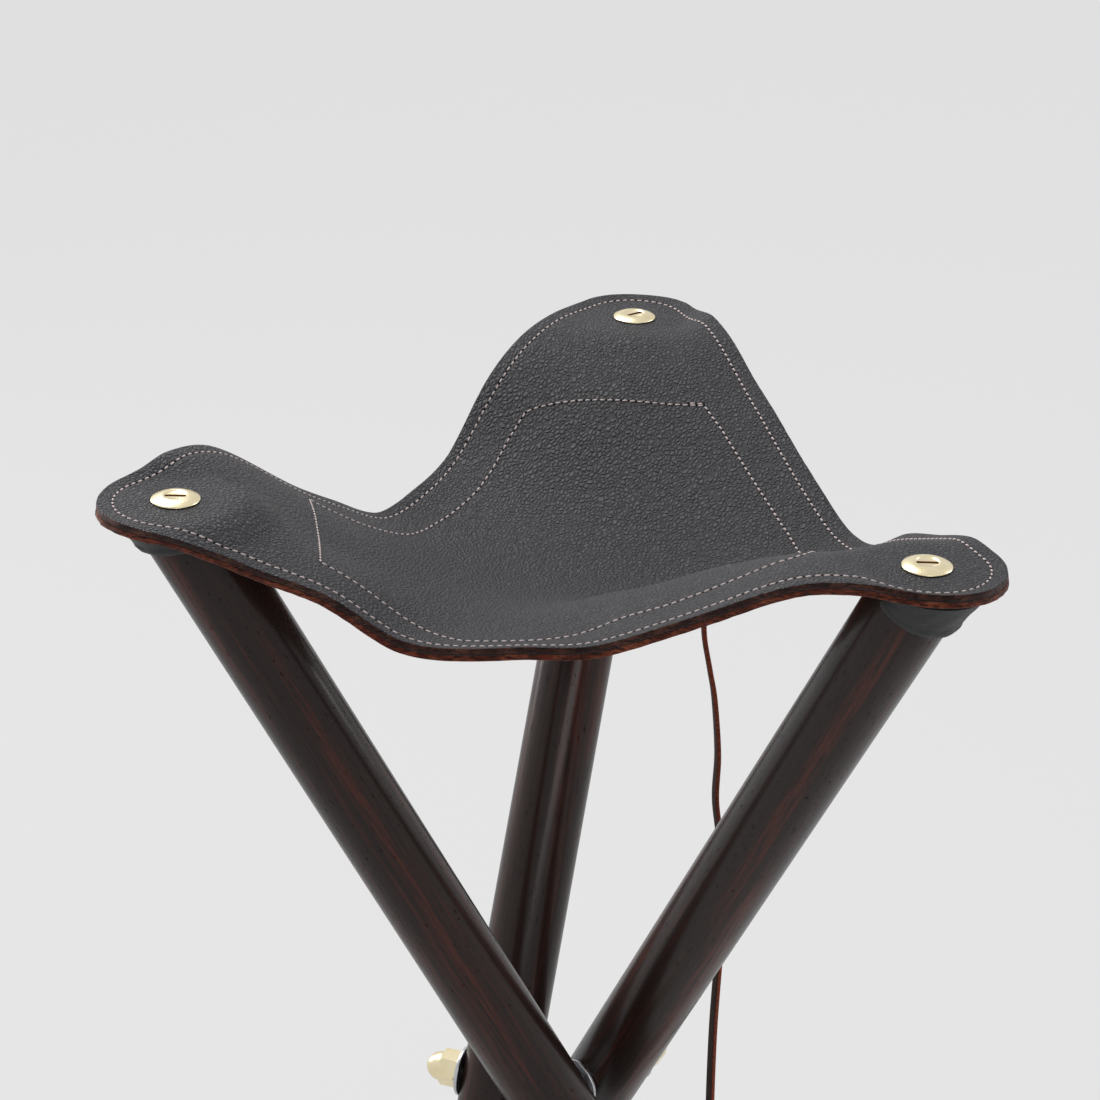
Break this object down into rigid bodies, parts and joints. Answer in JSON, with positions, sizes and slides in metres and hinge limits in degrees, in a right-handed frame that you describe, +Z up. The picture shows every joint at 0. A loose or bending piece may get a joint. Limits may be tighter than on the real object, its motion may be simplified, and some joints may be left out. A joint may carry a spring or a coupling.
{
  "type": "tripod stool",
  "caption": "Folding stool: round wooden legs crossing at a three-way bolt, with a slung triangular leather seat held by brass screws.",
  "frame": {"origin": "on the floor, under the middle of the stool's outer box without the lace; the three-way bolt's own axis stands 10 mm from it", "axes": "+Z up, along the stool's height; the tab of leg b points along +Y from the bolt's axis"},
  "size_m": [0.3166, 0.33, 0.5568],
  "materials": {
    "seat_leather": "pebble-grained, semi-matt",
    "pocket_leather": "grained, semi-matt",
    "suede": "cut edge and flesh side, matt",
    "leg_wood": "dark mahogany stain under gloss lacquer",
    "brass": "polished",
    "steel": "zinc-plated"
  },
  "bodies": {
    "seat_and_bolt": {"three_way_bolt": "steel", "seat_leather": "seat_leather", "seat_lining": "suede", "tie_lace": "suede", "inner_washer_a": "steel", "inner_washer_b": "steel", "inner_washer_c": "steel", "outer_washer_a": "steel", "outer_washer_b": "steel", "outer_washer_c": "steel", "cap_nut_a": "brass", "cap_nut_b": "brass", "cap_nut_c": "brass"},
    "leg_a": {"leg_a": "leg_wood", "threaded_insert_a": "steel", "corner_pocket_a": "pocket_leather", "seat_screw_a": "brass"},
    "leg_b": {"leg_b": "leg_wood", "threaded_insert_b": "steel", "corner_pocket_b": "pocket_leather", "seat_screw_b": "brass"},
    "leg_c": {"leg_c": "leg_wood", "threaded_insert_c": "steel", "corner_pocket_c": "pocket_leather", "seat_screw_c": "brass"}
  },
  "joints": [
    {"name": "fold_a", "type": "hinge", "parent": "seat_and_bolt", "child": "leg_a", "pos_m": [0.00445, -0.03291, 0.27548], "axis": [-0.3414, 0.9399, 0], "range_deg": [0, 28], "deforming": ["seat_leather", "seat_lining"]},
    {"name": "fold_b", "type": "hinge", "parent": "seat_and_bolt", "child": "leg_b", "pos_m": [-0.0295, -0.00439, 0.27548], "axis": [0.9847, -0.1743, 0], "range_deg": [0, 28]},
    {"name": "fold_c", "type": "hinge", "parent": "seat_and_bolt", "child": "leg_c", "pos_m": [0.01218, 0.01075, 0.27548], "axis": [-0.6433, -0.7656, 0], "range_deg": [0, 28]}
  ],
  "couplings": [
    {"joint": "fold_b", "follows": "fold_a", "ratio": 1},
    {"joint": "fold_c", "follows": "fold_a", "ratio": 1}
  ]
}
